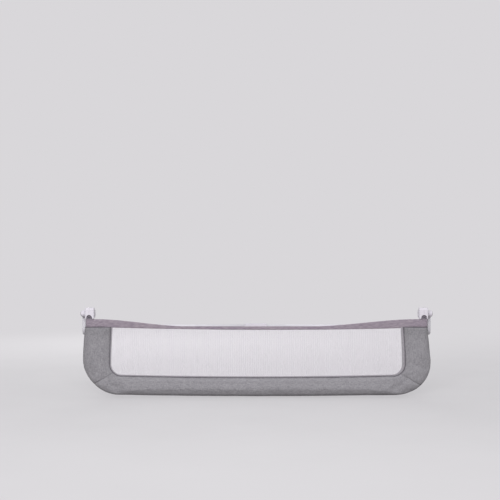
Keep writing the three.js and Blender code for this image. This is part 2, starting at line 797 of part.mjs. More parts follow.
// Corded edge along the inner seam
function windowPiping() {
  const rings = stationsBetween(piping.start, 6 - piping.start).map((s) => {
    const { seam: [x, drop], angle } = station(s);
    const place = [x - piping.offset * Math.cos(angle), drop - piping.offset * Math.sin(angle)];
    return tubeRing(place, angle, piping.radius, 8);
  });
  return loft(rings);
}

// Drops of the sagging upper and lower edges of the hem strip
function hemTop(x) {
  return hem.top + hem.sag * THREE.MathUtils.smoothstep(postX - 20 - Math.abs(x), 0, hem.ramp);
}

function hemBottom(x) {
  const inside = THREE.MathUtils.clamp(1 - Math.abs(x) / hem.innerX, 0, 1);
  return hem.bottom + hem.droop * Math.sin((inside * Math.PI) / 2);
}

// Hem strip: a band of cloth that sags between two collars sewn round the posts
function hemStrip() {
  const collar = [[736, 0.9], [734.6, 5], [729.5, 9.6], [postX, 13], [708, 11], [694, 6.5], [672, 3]];
  const band = [hem.innerX, 560, 490, 420, 340, 240, 120].map((x) => [x, hem.strip]);
  const side = [...collar, ...band];
  const all = [...side, [0, hem.strip], ...side.map(([x, half]) => [-x, half]).reverse()];
  const rings = all.map(([x, half]) => {
    const [top, bottom] = [hemTop(x), hemBottom(x)];
    const edges = [[top + 1.5, half], [top, half / 2], [top, -half / 2], [top + 1.5, -half]];
    const under = [[bottom - 1.5, -half], [bottom, -half / 2], [bottom, half / 2], [bottom - 1.5, half]];
    return [...edges, ...under].map(([drop, y]) => railPoint(x, y, drop));
  });
  const bore = (x) => bar("z", 0, pivotHeight, [x, railY], circle(railTube.radius + gap));
  return cut(loft(rings), bore(postX), bore(-postX));
}

// See-through net that fills the window: a plain border and a grid of openings
function meshPanel() {
  const clear = piping.offset + piping.radius + gap + 0.2;
  const outer = [];
  for (const s of stationsBetween(0.03, 3).slice(0, -1)) {
    const { seam: [x, drop], angle } = station(s);
    outer.push([x - clear * Math.cos(angle), drop - clear * Math.sin(angle)]);
  }
  const sideX = outer[0][0];
  const across = Array.from({ length: 9 }, (_, i) => lerp(-sideX, sideX, (i + 0.5) / 9));
  const upper = across.map((x) => [x, hemBottom(x) + gap + 0.1]);
  const lower = outer.map(([x, drop]) => [-x, drop]).reverse();
  const shape = outlineShape([...outer, ...lower, ...upper].map(([x, drop]) => [x, -drop]));
  const reach = sideX - net.border;
  const floor = (x) =>
    seam.drop + seam.bow * (1 - (x / reach) ** 2) - clear - net.border - cornerLift(Math.abs(x), reach);
  const roof = (x) => hemBottom(x) + gap + net.border;
  for (let i = 0; i < net.columns; i++) {
    const ends = [i, i + 1].map((n) => lerp(-reach, reach, n / net.columns));
    const [x0, x1] = [ends[0] + net.strand / 2, ends[1] - net.strand / 2];
    for (let j = 0; j < net.rows; j++) {
      const at = (x, n, side) => -lerp(roof(x), floor(x), n / net.rows) + (side * net.strand) / 2;
      const left = [[x0, at(x0, j, -1)], [x0, at(x0, j + 1, 1)]];
      const right = [[x1, at(x1, j + 1, 1)], [x1, at(x1, j, -1)]];
      shape.holes.push(new THREE.Path([...left, ...right].map(([x, z]) => new THREE.Vector2(x, z))));
    }
  }
  return frontPlate(shape, -net.half, net.half).translate(0, railY, datumZ);
}

// How far the window's lower corner rises above its bottom edge at a distance from the middle
function cornerLift(x, reach) {
  const radius = seam.corner - piping.offset;
  const into = Math.max(0, x - (reach - radius));
  return radius - Math.sqrt(Math.max(0, radius * radius - into * into));
}

function rail() {
  const { paintedSteel, foam, paddedCloth, pipingCloth, netCloth, hemCloth } = materials;
  const posts = bothSides((side) =>
    assembly(
      piece(`${side}_post_tube`, postTube(), paintedSteel),
      piece(`${side}_post_foam`, foamSleeve(postSpan), foam),
      piece(`${side}_post_pad`, coverPad(postSpan), paddedCloth),
    ),
  );
  return assembly(
    posts,
    piece("lower_rail_tube", lowerTube(), paintedSteel),
    piece("lower_rail_foam", foamSleeve(lowerSpan), foam),
    piece("lower_rail_pad", coverPad(lowerSpan), paddedCloth),
    piece("window_piping", windowPiping(), pipingCloth),
    piece("mesh_panel", meshPanel(), netCloth),
    piece("hem_strip", hemStrip(), hemCloth),
  );
}

export default assembly(baseFrame(), hinges(), rail());
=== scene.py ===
"""Looks for the folding bed guard rail: padded heather cover, corded window edge, net, sagging hem, plastic
hinges and coated steel tube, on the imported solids. Metres, in the shared frame."""

import json
import math

import bmesh
import bpy
import numpy as np
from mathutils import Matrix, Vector, noise


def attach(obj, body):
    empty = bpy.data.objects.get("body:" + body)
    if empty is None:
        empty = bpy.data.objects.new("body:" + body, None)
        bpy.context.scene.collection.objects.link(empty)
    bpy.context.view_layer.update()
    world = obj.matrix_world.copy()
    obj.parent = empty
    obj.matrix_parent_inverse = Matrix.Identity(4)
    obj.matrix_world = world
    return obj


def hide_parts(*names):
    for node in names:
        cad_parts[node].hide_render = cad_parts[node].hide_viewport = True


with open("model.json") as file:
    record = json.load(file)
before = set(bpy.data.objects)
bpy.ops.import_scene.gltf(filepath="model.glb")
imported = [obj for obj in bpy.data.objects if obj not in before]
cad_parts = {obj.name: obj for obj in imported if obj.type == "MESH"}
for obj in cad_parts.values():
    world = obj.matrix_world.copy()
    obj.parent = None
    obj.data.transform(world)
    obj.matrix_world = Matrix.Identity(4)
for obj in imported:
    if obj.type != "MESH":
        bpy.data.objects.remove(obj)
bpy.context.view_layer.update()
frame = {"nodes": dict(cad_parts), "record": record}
scene = bpy.context.scene

# Layout, as in the solids
POST_X = 0.720
ARM_X = 0.749
ARM_Y = -0.430
FOLD = 0.032
RAIL_Y = ARM_Y - 2 * FOLD
PIVOT_Z = 0.100
DATUM_Z = 0.094
TUBE = {"radius": 0.011, "x": POST_X, "drop": 0.322, "corner": 0.135, "rise": 0.029, "leg": 0.36}
EDGE = {"top_x": 0.739, "x": 0.748, "drop": 0.341, "corner": 0.162, "bow": 0.006}
SEAM = {"top_x": 0.629, "x": 0.635, "drop": 0.2627, "corner": 0.053, "bow": 0.007}
PAD = {"top": 0.050, "half": 0.019, "band": 0.0125, "slope": 0.018, "welt": 0.009}
PIPING = {"radius": 0.0028, "offset": 0.0056, "tuck": 0.049, "taper": 0.007, "pinch": 0.3}
# Painted shade: a thin dark strip in the groove between the window's cord and the pad
GROOVE_SHADE = {"half": 0.001, "under": 0.003}
HEM = {"top": 0.015, "sag": 0.031, "seam": 0.0493, "middle": 0.0613, "inner": 0.632, "turn": 0.033}
# The right half of the hem hangs lower, and starts its sag further in
HEM_SIDE = {
    "left": {"start": 0.700, "ramp": 0.405, "corner": 0.0517, "power": 1.65},
    "right": {"start": 0.698, "ramp": 0.465, "corner": 0.0537, "power": 2.6},
}
# The band where it is thin: its fold, how far it waves, and where its thicker lower seam starts
HEM_FOLD = {"thin": 0.004, "edge": 0.0007, "wave": 0.0012, "round": 0.35, "seam": 1.25, "seam_from": 0.82}
# Half the band's thickness along X: a thin strip that opens out into a sleeve round the post
COLLAR = {
    "x": [0.0, 0.632, 0.650, 0.672, 0.690, 0.703, 0.712, 0.720, 0.728, 0.7335, 0.7362, 0.7372],
    "half": [0.0012, 0.0012, 0.0016, 0.0034, 0.0070, 0.0104, 0.0123, 0.0129, 0.0122, 0.0096, 0.0054, 0.0014],
}
NET = {"column": 0.0047, "row": 0.004, "heavy": 0.0016, "light": 0.0007, "weft": 0.00095, "lift": 0.0003}
# How far the net's yarns run in under the hem, and stay off the lower seam
NET_TUCK = {"warp": 0.004, "weft": 0.003, "below": 0.001, "level": 0.06}
NET_PULL = {"depth": 0.0016, "reach": 0.30, "lean": 0.55, "waves": 95}
NET_SLACK = {"depth": 0.0014, "edge": 0.03, "waves": (4, 7)}
BASE_TUBE = {"width": 0.020, "height": 0.012, "bend": 0.024, "z": 0.010, "upright_gap": 0.0123}
BASE_ENDS = {"arm_y": -0.016, "rear_x": (0.002, 0.733)}
FLOOR_Z = -0.2585
SNAP = {"drop": 0.013, "dome": 0.0034, "stem": 0.0025, "flange": 0.004, "rise": 0.002}

# Stations along the rail: 0 at the right-hand hem, 1 to 2 round the corner, MIDDLE at the middle of the
# bottom bar, LAST at the other hem
MIDDLE, LAST = 3, 6
MITRE, MITRE_GAP = 1.5, 0.0012

# How a padded cover is meshed, and how far its ends are drawn in, each with the length that this fades over
COVER = {"half_points": 27, "ring_step": 0.006, "end_rings": (0.27, 0.58), "held_rings": 3}
DRAWN = {"hem": (0.40, 0.0022), "mitre": (0.16, 0.004), "slope": (0.03, 0.02)}
# How it fills out: the pressure in the cloth, and the furthest that a point may move
PUFF = {"pressure": 3.0, "shrink": -0.012, "frames": 16, "cap": 0.004}
CLOTH = {"quality": 5, "mass": 0.3, "stretch": 14, "shear": 6, "bend": 0.6}
# How its outline is evened out: rings to each side, and how soon this fades away from the nose
EVEN = {"rings": 6, "fade": 0.05}
# Hollows in it: depth, waves per metre, and the share taken off beside the nose
HOLLOWS = ((0.0011, 14, 0.6), (0.0005, 45, 0.85))
PUCKER = {"depth": 0.0012, "waves": 95, "fade": 0.012}
# Painted shade: a dark band round the top of each post cover, just under the hem
TOP_SHADE_BAND = {"rise": 0.0008, "share": 0.75, "half": 0.0005}

# Widths of the eased edges
EASED = {"shell": 0.0006, "button": 0.0004, "sleeve": 0.0005}

# Studio and camera. The photo shows 4.31 mm to a pixel at the panel.
BACKDROP_SEEN = (217, 215, 218)
BACKDROP = {"front": -9.0, "start": 6.3, "bend": 1.2, "top": 5.0, "half": 9.0}
GLOW = {"from": 0.9, "to": 3.4, "least": 0.5}
WORLD_LEVEL = 0.52
LAMPS = (
    ("front_key", (-0.35, -5.2, 1.5), (0, -0.5, -0.1), (2.6, 1.6), 165),
    ("overhead", (0.0, -0.5, 2.8), (0, -0.4, 0), (2.2, 2.2), 12),
    ("back_fill", (-0.8, 3.1, 1.1), (0, -0.4, 0), (3.0, 1.2), 70),
)
CAMERA = {"lens": 93.6, "sensor": 36, "shift_y": -0.06, "x": -0.0284, "z": 0.506, "away": 5.603}
# How far the right-hand outer edge stands fuller than the left, by station
FULLNESS = {
    "station": [0, 0.25, 0.5, 0.75, 0.95, 1.05, 1.15, 1.25, 1.35, 1.5, 1.6, 1.72, 1.86, 2.0, 2.2],
    "out": [-0.002, -0.0035, -0.0025, -0.0015, -0.0004]
    + [0.0015, 0.0042, 0.0068, 0.0092, 0.0098, 0.0084, 0.0048, 0.003, 0.0015, 0],
}
# How much wider the window's corded edge lies on the right, where it is turned flat
BINDING = {
    "station": [0, 0.3, 0.6, 1.1, 1.4, 1.7, 2.0],
    "out": [0.0043, 0.0062, 0.0072, 0.0072, 0.006, 0.003, 0],
}


# Small helpers


def link(name, points, faces, smooth=True):
    data = bpy.data.meshes.new(name)
    data.from_pydata([tuple(p) for p in points], [], faces)
    data.update()
    data.polygons.foreach_set("use_smooth", [smooth] * len(data.polygons))
    obj = bpy.data.objects.new(name, data)
    scene.collection.objects.link(obj)
    return obj


def loft(name, rings, closed=False):
    """A skin through rings of the same number of points, capped, or closed on itself as a hoop."""
    count, around = len(rings), len(rings[0])
    points = [p for ring in rings for p in ring]
    faces = []
    for i in range(count if closed else count - 1):
        here, after = i * around, (i + 1) % count * around
        for k in range(around):
            turn = (k + 1) % around
            faces.append((here + k, here + turn, after + turn, after + k))
    if not closed:
        faces.append(tuple(reversed(range(around))))
        faces.append(tuple(range((count - 1) * around, count * around)))
    obj = link(name, points, faces)
    face_out(obj)
    return obj


def face_out(obj):
    mesh = bmesh.new()
    mesh.from_mesh(obj.data)
    bmesh.ops.recalc_face_normals(mesh, faces=mesh.faces)
    mesh.to_mesh(obj.data)
    mesh.free()


def smoothstep(x):
    x = min(1.0, max(0.0, x))
    return x * x * (3 - 2 * x)


def circle(radius, steps=32):
    turns = [2 * math.pi * (i + 0.5) / steps for i in range(steps)]
    return [(radius * math.cos(t), radius * math.sin(t)) for t in turns]


def flat_oval(width, height, steps=10):
    radius = height / 2
    points = []
    for side in (1, -1):
        for i in range(steps + 1):
            angle = math.pi * (i / steps - 0.5)
            along = width / 2 - radius + radius * math.cos(angle)
            points.append((side * along, side * radius * math.sin(angle)))
    return points


# Materials


def srgb(*levels):
    """A colour as seen, 0 to 255, as the linear values that a shader takes."""
    shares = [v / 255 for v in levels]
    return tuple(v / 12.92 if v <= 0.04045 else ((v + 0.055) / 1.055) ** 2.4 for v in shares) + (1.0,)


def shade(level):
    """A grey that a colour is multiplied by."""
    return (level, level, level, 1)


class Nodes:
    """A new material and short ways to add its nodes."""

    def __init__(self, name, **settings):
        self.material = bpy.data.materials.new(name)
        self.material.use_nodes = True
        self.tree = self.material.node_tree
        self.shader = self.tree.nodes["Principled BSDF"]
        for socket, value in settings.items():
            self.shader.inputs[socket.replace("_", " ")].default_value = value
        self.place = self.add("ShaderNodeTexCoord").outputs["Object"]

    def add(self, kind, **settings):
        node = self.tree.nodes.new(kind)
        for key, value in settings.items():
            setattr(node, key, value)
        return node

    def wire(self, source, target):
        self.tree.links.new(source, target)

    def stretch(self, scale, turn=(0, 0, 0)):
        node = self.add("ShaderNodeMapping")
        self.wire(self.place, node.inputs["Vector"])
        node.inputs["Scale"].default_value = scale
        node.inputs["Rotation"].default_value = turn
        return node.outputs["Vector"]

    def noise(self, scale, detail=3.0, stretch=(1, 1, 1), rough=0.55):
        node = self.add("ShaderNodeTexNoise")
        self.wire(self.stretch(stretch), node.inputs["Vector"])
        node.inputs["Scale"].default_value = scale
        node.inputs["Detail"].default_value = detail
        node.inputs["Roughness"].default_value = rough
        return node.outputs["Fac"]

    def bands(self, pitch, direction, distortion=0.0):
        node = self.add("ShaderNodeTexWave", wave_type="BANDS", bands_direction=direction)
        self.wire(self.place, node.inputs["Vector"])
        node.inputs["Scale"].default_value = 0.314 / pitch
        node.inputs["Distortion"].default_value = distortion
        node.inputs["Detail Scale"].default_value = 40
        return node.outputs["Fac"]

    def height(self, low, high):
        """Rises from 0 to 1 between two heights."""
        parts = self.add("ShaderNodeSeparateXYZ")
        self.wire(self.place, parts.inputs[0])
        share = self.add("ShaderNodeMapRange", interpolation_type="SMOOTHSTEP")
        self.wire(parts.outputs["Z"], share.inputs["Value"])
        share.inputs["From Min"].default_value = low
        share.inputs["From Max"].default_value = high
        return share.outputs["Result"]

    def ramp(self, source, stops):
        node = self.add("ShaderNodeValToRGB")
        self.wire(source, node.inputs["Fac"])
        ramp = node.color_ramp
        while len(ramp.elements) < len(stops):
            ramp.elements.new(0.5)
        for element, (place, colour) in zip(ramp.elements, stops):
            element.position, element.color = place, colour
        return node.outputs["Color"]

    def math(self, operation, a, b):
        node = self.add("ShaderNodeMath", operation=operation)
        for socket, value in zip(node.inputs, (a, b)):
            if isinstance(value, (int, float)):
                socket.default_value = value
            else:
                self.wire(value, socket)
        return node.outputs["Value"]

    def mix(self, share, a, b, blend="MIX"):
        node = self.add("ShaderNodeMix", data_type="RGBA", blend_type=blend)
        for socket, value in ((node.inputs[0], share), (node.inputs[6], a), (node.inputs[7], b)):
            if isinstance(value, (int, float, tuple)):
                socket.default_value = value
            else:
                self.wire(value, socket)
        return node.outputs[2]

    def bump(self, height, strength, distance):
        node = self.add("ShaderNodeBump")
        self.wire(height, node.inputs["Height"])
        node.inputs["Strength"].default_value = strength
        node.inputs["Distance"].default_value = distance
        self.wire(node.outputs["Normal"], self.shader.inputs["Normal"])

    def paint(self, colour, roughness=None):
        self.wire(colour, self.shader.inputs["Base Color"])
        if roughness is not None:
            self.wire(roughness, self.shader.inputs["Roughness"])
        return self.material


def heather_cloth(name, grain):
    """Melange canvas: threads of three greys, with long streaks along the grain, and painted shade towards
    the hem.
    """
    n = Nodes(name, Roughness=0.92, Sheen_Weight=0.2, Sheen_Roughness=0.5, Specular_IOR_Level=0.25)
    along = (0.16, 1, 1) if grain == "X" else (1, 1, 0.16)
    across = (1, 1, 0.22) if grain == "X" else (0.22, 1, 1)
    warp = n.math("MULTIPLY", n.noise(430, 2.0, along), 0.5)
    weft = n.math("MULTIPLY", n.noise(460, 2.0, across), 0.5)
    threads = n.math("ADD", warp, weft)
    greys = [(0.34, srgb(128, 126, 131)), (0.5, srgb(149, 146, 151)), (0.66, srgb(167, 165, 169))]
    colour = n.ramp(threads, greys)
    streaks = n.ramp(n.noise(170, 2.0, along), [(0.35, shade(0.975)), (0.65, shade(1.025))])
    patches = n.ramp(n.noise(11, 2.0), [(0.35, shade(0.975)), (0.65, shade(1.02))])
    colour = n.mix(1.0, n.mix(1.0, colour, streaks, "MULTIPLY"), patches, "MULTIPLY")
    # Painted shade: the covers grow darker towards their tops, where the hem above shades them
    painted_hem_shade = n.ramp(n.height(-0.012, 0.036), [(0, shade(1)), (1, shade(0.84))])
    colour = n.mix(1.0, colour, painted_hem_shade, "MULTIPLY")
    weave = n.math("MULTIPLY", n.bands(0.0012, "X"), n.bands(0.0012, "Z"))
    n.bump(n.math("ADD", weave, n.math("MULTIPLY", threads, 1.4)), 0.45, 0.0005)
    return n.paint(colour)


def hem_cloth():
    """Mauve-grey edging with fine lengthwise ribs, and painted shade in the grooves between them."""
    sheen = {"Sheen_Weight": 0.35, "Sheen_Roughness": 0.45}
    n = Nodes("hem ribbed cloth", Roughness=0.88, Specular_IOR_Level=0.25, **sheen)
    ribs = n.bands(0.0018, "Z", 0.4)
    threads = n.noise(380, 2.0, (0.12, 1, 1))
    mauves = [(0.32, srgb(138, 128, 139)), (0.52, srgb(157, 147, 157)), (0.7, srgb(171, 161, 169))]
    colour = n.ramp(threads, mauves)
    # Painted shade: darker in the grooves between the ribs
    painted_rib_shade = n.ramp(ribs, [(0.0, (0.93, 0.92, 0.94, 1)), (0.6, shade(1))])
    faded = [(0.35, (0.95, 0.93, 0.96, 1)), (0.65, (1.04, 1.03, 1.02, 1))]
    patches = n.ramp(n.noise(7, 2.0, (1, 1, 3)), faded)
    colour = n.mix(1.0, n.mix(1.0, colour, painted_rib_shade, "MULTIPLY"), patches, "MULTIPLY")
    n.bump(n.math("ADD", ribs, n.math("MULTIPLY", threads, 0.8)), 0.5, 0.0005)
    return n.paint(colour)


def piping_cloth():
    sheen = {"Sheen_Weight": 0.3, "Sheen_Roughness": 0.4}
    n = Nodes("corded edge cloth", Roughness=0.8, Specular_IOR_Level=0.3, **sheen)
    threads = n.noise(520, 2.0, (1, 1, 0.3))
    greys = [(0.3, srgb(140, 136, 142)), (0.5, srgb(157, 153, 159)), (0.7, srgb(173, 169, 174))]
    colour = n.ramp(threads, greys)
    n.bump(threads, 0.4, 0.0003)
    return n.paint(colour)


# Painted shade: dark cloth for strips laid where the cord's groove and the hem's lower edge are in shade
def painted_shade_tape():
    n = Nodes("painted shade tape", Roughness=0.95, Specular_IOR_Level=0.2)
    threads = n.noise(600, 2.0)
    n.bump(threads, 0.4, 0.0003)
    return n.paint(n.ramp(threads, [(0.3, srgb(94, 90, 97)), (0.7, srgb(118, 114, 121))]))


def net_yarn():
    n = Nodes("net yarn", Roughness=0.7, Sheen_Weight=0.2, Sheen_Roughness=0.5, Specular_IOR_Level=0.3)
    fibres = n.noise(900, 2.0)
    colour = n.ramp(fibres, [(0.3, srgb(210, 204, 214)), (0.7, srgb(236, 231, 238))])
    n.bump(fibres, 0.2, 0.0002)
    return n.paint(colour)


def moulded_plastic(name, colour, grain=0.35, roughness=0.42):
    """Satin moulding: faint spark-eroded grain, slight tone changes and rubbed patches."""
    n = Nodes(name, Specular_IOR_Level=0.45)
    fine = n.noise(1400, 3.0)
    soft = n.noise(35, 2.0)
    tint = n.ramp(soft, [(0.3, tuple(c * 0.95 for c in colour[:3]) + (1,)), (0.7, colour)])
    rough = n.math("ADD", n.math("MULTIPLY", n.noise(60, 3.0), 0.16), roughness - 0.08)
    n.bump(fine, grain, 0.0001)
    return n.paint(tint, rough)


def powder_coat(name, low, high):
    n = Nodes(name, Specular_IOR_Level=0.5)
    peel = n.noise(650, 2.0)
    tint = n.ramp(n.noise(20, 3.0), [(0.3, low), (0.7, high)])
    rough = n.math("ADD", n.math("MULTIPLY", n.noise(90, 3.0), 0.2), 0.4)
    n.bump(peel, 0.25, 0.0002)
    return n.paint(tint, rough)


def plated_steel():
    n = Nodes("zinc plated steel", Metallic=1.0)
    tint = n.ramp(n.noise(120, 3.0), [(0.3, srgb(176, 178, 184)), (0.7, srgb(208, 209, 214))])
    rough = n.math("ADD", n.math("MULTIPLY", n.noise(300, 3.0), 0.2), 0.22)
    n.bump(n.noise(800, 2.0), 0.15, 0.0001)
    return n.paint(tint, rough)


def dark_pin():
    n = Nodes("dark steel pin", Metallic=1.0)
    tint = n.ramp(n.noise(400, 3.0), [(0.3, srgb(84, 82, 88)), (0.7, srgb(112, 110, 116))])
    rough = n.math("ADD", n.math("MULTIPLY", n.noise(500, 3.0), 0.15), 0.38)
    n.bump(n.noise(900, 2.0), 0.15, 0.0001)
    return n.paint(tint, rough)


def ribbed_rubber():
    n = Nodes("moulded rubber", Specular_IOR_Level=0.3)
    tint = n.ramp(n.noise(60, 4.0), [(0.3, srgb(62, 62, 66)), (0.7, srgb(84, 84, 88))])
    rough = n.math("ADD", n.math("MULTIPLY", n.noise(200, 3.0), 0.2), 0.72)
    n.bump(n.noise(1200, 3.0), 0.4, 0.0002)
    return n.paint(tint, rough)


def open_foam():
    n = Nodes("foam", Roughness=0.95)
    cells = n.noise(700, 4.0)
    n.bump(cells, 0.6, 0.0006)
    return n.paint(n.ramp(cells, [(0.3, srgb(180, 178, 170)), (0.7, srgb(222, 220, 212))]))


LOOK = {
    "padded_cloth": heather_cloth("heather canvas lengthwise", "X"),
    "post_cloth": heather_cloth("heather canvas upright", "Z"),
    "hem_cloth": hem_cloth(),
    "piping_cloth": piping_cloth(),
    "painted_shade_tape": painted_shade_tape(),
    "net_cloth": net_yarn(),
    "white_plastic": moulded_plastic("white moulded plastic", srgb(222, 217, 226)),
    "grey_plastic": moulded_plastic("grey moulded plastic", srgb(122, 115, 127), 0.45, 0.5),
    "painted_steel": powder_coat("dark powder coat", srgb(126, 119, 129), srgb(140, 133, 143)),
    "white_steel": powder_coat("white powder coat", srgb(220, 217, 224), srgb(230, 228, 234)),
    "zinc_steel": plated_steel(),
    "dark_pin": dark_pin(),
    "rubber": ribbed_rubber(),
    "foam": open_foam(),
}


def dress(obj, slot, body, *nodes, look=None):
    """Finish, body and stand-in of one piece."""
    obj.data.materials.clear()
    obj.data.materials.append(LOOK[look or slot])
    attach(obj, body)
    if nodes:
        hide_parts(*nodes)


# Where the rail's outer edge, tube and inner seam run


def station(s):
    """(x, drop) of the edge, the tube and the seam, and the tube's outward direction."""
    if s > MIDDLE:
        twin = station(LAST - s)
        places = {key: (-v[0], v[1]) for key, v in twin.items() if key != "angle"}
        return places | {"angle": math.pi - twin["angle"]}
    angle = min(1.0, max(0.0, s - 1)) * math.pi / 2

    def follow(line):
        x, drop, corner = line["x"], line["drop"], line["corner"]
        cx, cz = x - corner, drop - corner
        if s < 1:
            top = line.get("top_x", x)
            return top + (x - top) * math.sin(s * math.pi / 2), PAD["top"] + (cz - PAD["top"]) * s
        if s > 2:
            return cx * (MIDDLE - s), drop + line.get("bow", 0) * (1 - (MIDDLE - s) ** 2)
        return cx + corner * math.cos(angle), cz + corner * math.sin(angle)

    return {"edge": follow(EDGE), "tube": follow(TUBE), "seam": follow(SEAM), "angle": angle}


def right_only(table, s):
    """A shift outwards that only the right half has."""
    return float(np.interp(s, table["station"], table["out"])) if s < MIDDLE else 0.0


def rail_point(x, y, drop):
    return Vector((x, RAIL_Y + y, DATUM_Z - drop))


def spread(start, end, step, line="tube"):
    """Stations about a step apart along one of the lines."""
    fine = np.linspace(start, end, 1200)
    places = np.array([station(s)[line] for s in fine])
    run = np.concatenate([[0], np.cumsum(np.linalg.norm(np.diff(places, axis=0), axis=1))])
    count = max(2, round(run[-1] / step) + 1)
    return [float(np.interp(t, run, fine)) for t in np.linspace(0, run[-1], count)]


def tube_ring(place, angle):
    """A ring round the post's tube, square to its run."""
    x, drop = place
    turned = circle(TUBE["radius"], 40)
    return [rail_point(x + a * math.cos(angle), b, drop + a * math.sin(angle)) for a, b in turned]


# Padded cover


def soft_curve(controls, count):
    """Evenly spaced points on a smooth curve through the controls."""
    c = np.array(controls, float)
    ends = np.vstack([2 * c[0] - c[1], c, 2 * c[-1] - c[-2]])
    fine = []
    for i in range(1, len(ends) - 2):
        p0, p1, p2, p3 = ends[i - 1 : i + 3]
        square, cube = 2 * p0 - 5 * p1 + 4 * p2 - p3, 3 * p1 - p0 - 3 * p2 + p3
        for t in np.linspace(0, 1, 12, endpoint=False):
            fine.append(0.5 * (2 * p1 + (p2 - p0) * t + square * t**2 + cube * t**3))
    fine.append(c[-1])
    fine = np.array(fine)
    run = np.concatenate([[0], np.cumsum(np.linalg.norm(np.diff(fine, axis=0), axis=1))])
    at = np.linspace(0, run[-1], count)
    return np.stack([np.interp(at, run, fine[:, k]) for k in (0, 1)], axis=1)


def pad_section(s, squeeze):
    """One section of the padding, nose to seam on the front and back again."""
    here = station(s)
    start, core_at, end = (np.array(here[key]) for key in ("edge", "tube", "seam"))
    out = np.array([math.cos(here["angle"]), math.sin(here["angle"])])
    start += right_only(FULLNESS, s) * out
    end += right_only(BINDING, s) * out
    across = end - start
    width = np.linalg.norm(across)
    across /= width
    core = float(np.dot(core_at - start, across))
    shoulder = core + PAD["slope"]
    h, band = PAD["half"], PAD["band"]
    # Crown of the section: distance in from the nose, and height off the middle plane
    controls = [
        (0.0, 0.0),
        (0.035 * core, 0.3 * h),
        (0.15 * core, 0.6 * h),
        (0.45 * core, 0.88 * h),
        (core, h),
        (shoulder, 0.87 * h),
        ((shoulder + width - PAD["welt"]) / 2, band),
        (width - PAD["welt"], 0.82 * band),
        (width - 0.0025, 0.5 * band),
        (width + 0.0005, 0.0),
    ]
    curve = soft_curve(controls, COVER["half_points"])
    outline = [(a, b) for a, b in curve] + [(a, -b) for a, b in curve[-2:0:-1]]
    return [rail_point(start[0] + across[0] * a, -b * squeeze, start[1] + across[1] * a) for a, b in outline]


def puff(obj, around, pinned):
    """Lets the cover fill out under pressure from its seams, and keeps the shape it takes."""
    rest = np.array([v.co for v in obj.data.vertices])
    group = obj.vertex_groups.new(name="seams")
    group.add([int(i) for i in pinned], 1.0, "REPLACE")
    cloth = obj.modifiers.new("cloth", "CLOTH")
    settings = cloth.settings
    settings.quality = CLOTH["quality"]
    settings.mass = CLOTH["mass"]
    settings.tension_stiffness = CLOTH["stretch"]
    settings.compression_stiffness = CLOTH["stretch"]
    settings.shear_stiffness = CLOTH["shear"]
    settings.bending_stiffness = CLOTH["bend"]
    settings.use_pressure = True
    settings.uniform_pressure_force = PUFF["pressure"]
    settings.vertex_group_mass = "seams"
    settings.shrink_min = PUFF["shrink"]
    settings.effector_weights.gravity = 0
    cloth.collision_settings.use_collision = False
    cloth.point_cache.frame_end = PUFF["frames"]
    for number in range(1, PUFF["frames"] + 1):
        scene.frame_set(number)
    shaped = obj.evaluated_get(bpy.context.evaluated_depsgraph_get())
    moved = np.array([v.co for v in shaped.data.vertices]) - rest
    obj.modifiers.remove(cloth)
    obj.vertex_groups.remove(group)
    length = np.linalg.norm(moved, axis=1, keepdims=True)
    moved *= np.minimum(1, PUFF["cap"] / np.maximum(length, 1e-9))
    moved = evened(moved.reshape(-1, around, 3)).reshape(-1, 3)
    obj.data.vertices.foreach_set("co", (rest + moved).ravel())
    obj.data.update()
    scene.frame_set(1)


def evened(rings):
    """The movement of each ring's points, evened out along the nose line but not at the sewn ends."""
    count, around = rings.shape[:2]
    window = np.arange(count)[:, None] + np.arange(-EVEN["rings"], EVEN["rings"] + 1)
    even = rings[np.clip(window, 0, count - 1)].mean(axis=1)
    off_nose = np.minimum(np.arange(around), around - np.arange(around)) / (around / 2)
    share = np.exp(-(off_nose**2) / EVEN["fade"])[None, :, None] * np.ones((count, 1, 1))
    share[: COVER["held_rings"]] = share[-COVER["held_rings"] :] = 0
    return rings + share * (even - rings)


def unevenness(obj, around):
    """Slow hollows over the padding and small gathers running in from its seams."""
    data = obj.data
    normals = np.array([v.normal for v in data.vertices])
    points = np.array([v.co for v in data.vertices])
    shift = np.zeros(len(points))
    for i, p in enumerate(points):
        place = Vector(p)
        along = 1 - abs(1 - (i % around) / (around / 2))
        near_nose = math.exp(-(along**2) / EVEN["fade"])
        near_seam = math.exp(-((1 - along) ** 2) / PUCKER["fade"])
        for depth, waves, calmed in HOLLOWS:
            shift[i] += depth * (1 - calmed * near_nose) * noise.noise(place * waves)
        gather = Vector((p[0] * PUCKER["waves"], 3.1, p[2] * PUCKER["waves"]))
        shift[i] += PUCKER["depth"] * near_seam * noise.noise(gather)
    points += normals * shift[:, None]
    data.vertices.foreach_set("co", points.ravel())
    data.update()


